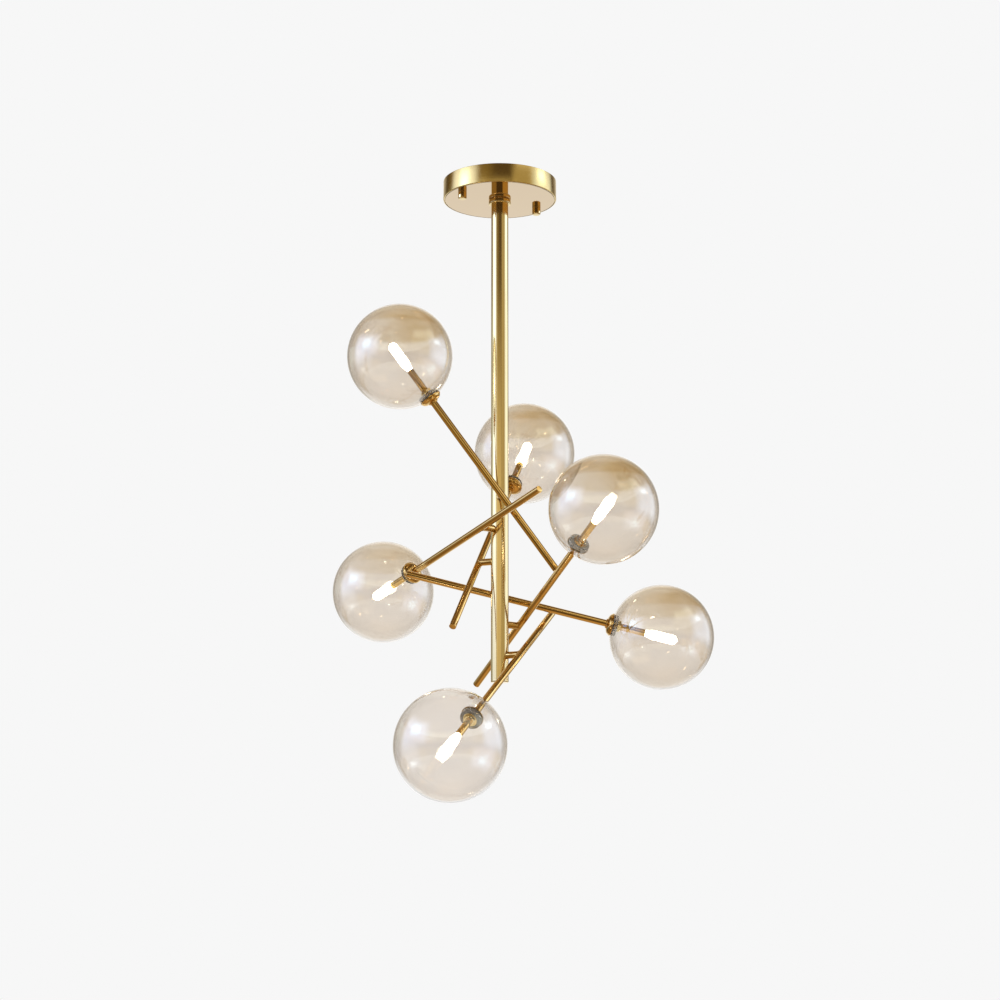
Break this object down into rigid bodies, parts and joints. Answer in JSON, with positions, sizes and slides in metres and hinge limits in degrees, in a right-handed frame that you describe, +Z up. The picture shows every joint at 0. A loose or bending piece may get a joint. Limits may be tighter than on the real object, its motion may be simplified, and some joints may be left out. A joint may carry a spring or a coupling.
{
  "type": "branch chandelier",
  "caption": "Ceiling chandelier: straight polished brass arms swivel on a vertical stem, each ending in a clear amber-tinted glass globe round a lit capsule bulb.",
  "frame": {"origin": "centre of the two ceiling screw holes, on the stem's axis, in the plane of the ceiling that the bracket and the canopy's rim meet", "axes": "+Z up, along the stem's axis and out of the ceiling bolt pattern; -Y towards the viewer in the picture's view; +X to that viewer's right"},
  "size_m": [0.4439, 0.4048, 0.7323],
  "materials": {
    "polished_brass": "polished",
    "amber_tinted_glass": "clear, thin amber metallic tint",
    "clear_silicone": "translucent",
    "lit_bulb_glass": "frosted, lit warm white",
    "holder_ceramic": "matte white",
    "zinc_steel": "zinc plated",
    "driver_case": "moulded white",
    "terminal_plastic": "moulded natural",
    "lead_insulation": "silicone sleeved"
  },
  "bodies": {
    "stem": {"canopy": "polished_brass", "canopy_bracket": "zinc_steel", "bracket_studs": "zinc_steel", "cap_nuts": "polished_brass", "stem_tube": "polished_brass", "stem_end_cap": "polished_brass", "stem_collar": "polished_brass", "stem_nipple": "zinc_steel", "nipple_nut": "zinc_steel", "led_driver": "driver_case", "terminal_block": "terminal_plastic", "stem_leads": "lead_insulation"},
    "branch_1": {"arm_1": "polished_brass", "seat_cup_1": "polished_brass", "globe_1": "amber_tinted_glass", "globe_seals_1": "clear_silicone", "globe_nut_1": "polished_brass", "lamp_sleeve_1": "polished_brass", "lampholder_1": "holder_ceramic", "bulb_1": "lit_bulb_glass"},
    "branch_2": {"arm_2": "polished_brass", "seat_cup_2": "polished_brass", "globe_2": "amber_tinted_glass", "globe_seals_2": "clear_silicone", "globe_nut_2": "polished_brass", "lamp_sleeve_2": "polished_brass", "lampholder_2": "holder_ceramic", "bulb_2": "lit_bulb_glass"},
    "branch_3": {"arm_3": "polished_brass", "seat_cup_3": "polished_brass", "globe_3": "amber_tinted_glass", "globe_seals_3": "clear_silicone", "globe_nut_3": "polished_brass", "lamp_sleeve_3": "polished_brass", "lampholder_3": "holder_ceramic", "bulb_3": "lit_bulb_glass"},
    "branch_4": {"arm_4": "polished_brass", "seat_cup_4": "polished_brass", "globe_4": "amber_tinted_glass", "globe_seals_4": "clear_silicone", "globe_nut_4": "polished_brass", "lamp_sleeve_4": "polished_brass", "lampholder_4": "holder_ceramic", "bulb_4": "lit_bulb_glass"},
    "branch_5": {"arm_5": "polished_brass", "seat_cup_5": "polished_brass", "globe_5": "amber_tinted_glass", "globe_seals_5": "clear_silicone", "globe_nut_5": "polished_brass", "lamp_sleeve_5": "polished_brass", "lampholder_5": "holder_ceramic", "bulb_5": "lit_bulb_glass"},
    "branch_6": {"arm_6": "polished_brass", "seat_cup_6": "polished_brass", "globe_6": "amber_tinted_glass", "globe_seals_6": "clear_silicone", "globe_nut_6": "polished_brass", "lamp_sleeve_6": "polished_brass", "lampholder_6": "holder_ceramic", "bulb_6": "lit_bulb_glass"}
  },
  "joints": [
    {"name": "branch_1_swivel", "type": "hinge", "parent": "stem", "child": "branch_1", "pos_m": [0.00751, -0.00399, -0.558], "axis": [-0.8829, 0.4695, 0], "range_deg": [-4, 25]},
    {"name": "branch_2_swivel", "type": "hinge", "parent": "stem", "child": "branch_2", "pos_m": [0.00709, 0.00469, -0.522], "axis": [-0.8339, -0.5519, 0], "range_deg": [-25, 4]},
    {"name": "branch_3_swivel", "type": "hinge", "parent": "stem", "child": "branch_3", "pos_m": [-0.00118, 0.00842, -0.486], "axis": [0.1392, -0.9903, 0], "range_deg": [-2, 25]},
    {"name": "branch_4_swivel", "type": "hinge", "parent": "stem", "child": "branch_4", "pos_m": [-0.00767, 0.00366, -0.45], "axis": [0.9026, -0.4305, 0], "range_deg": [-25, 15]},
    {"name": "branch_5_swivel", "type": "hinge", "parent": "stem", "child": "branch_5", "pos_m": [-0.00665, -0.00529, -0.414], "axis": [0.7826, 0.6225, 0], "range_deg": [-25, 4]},
    {"name": "branch_6_swivel", "type": "hinge", "parent": "stem", "child": "branch_6", "pos_m": [0.00037, -0.00849, -0.378], "axis": [-0.0436, 0.999, 0], "range_deg": [-25, 12]}
  ]
}
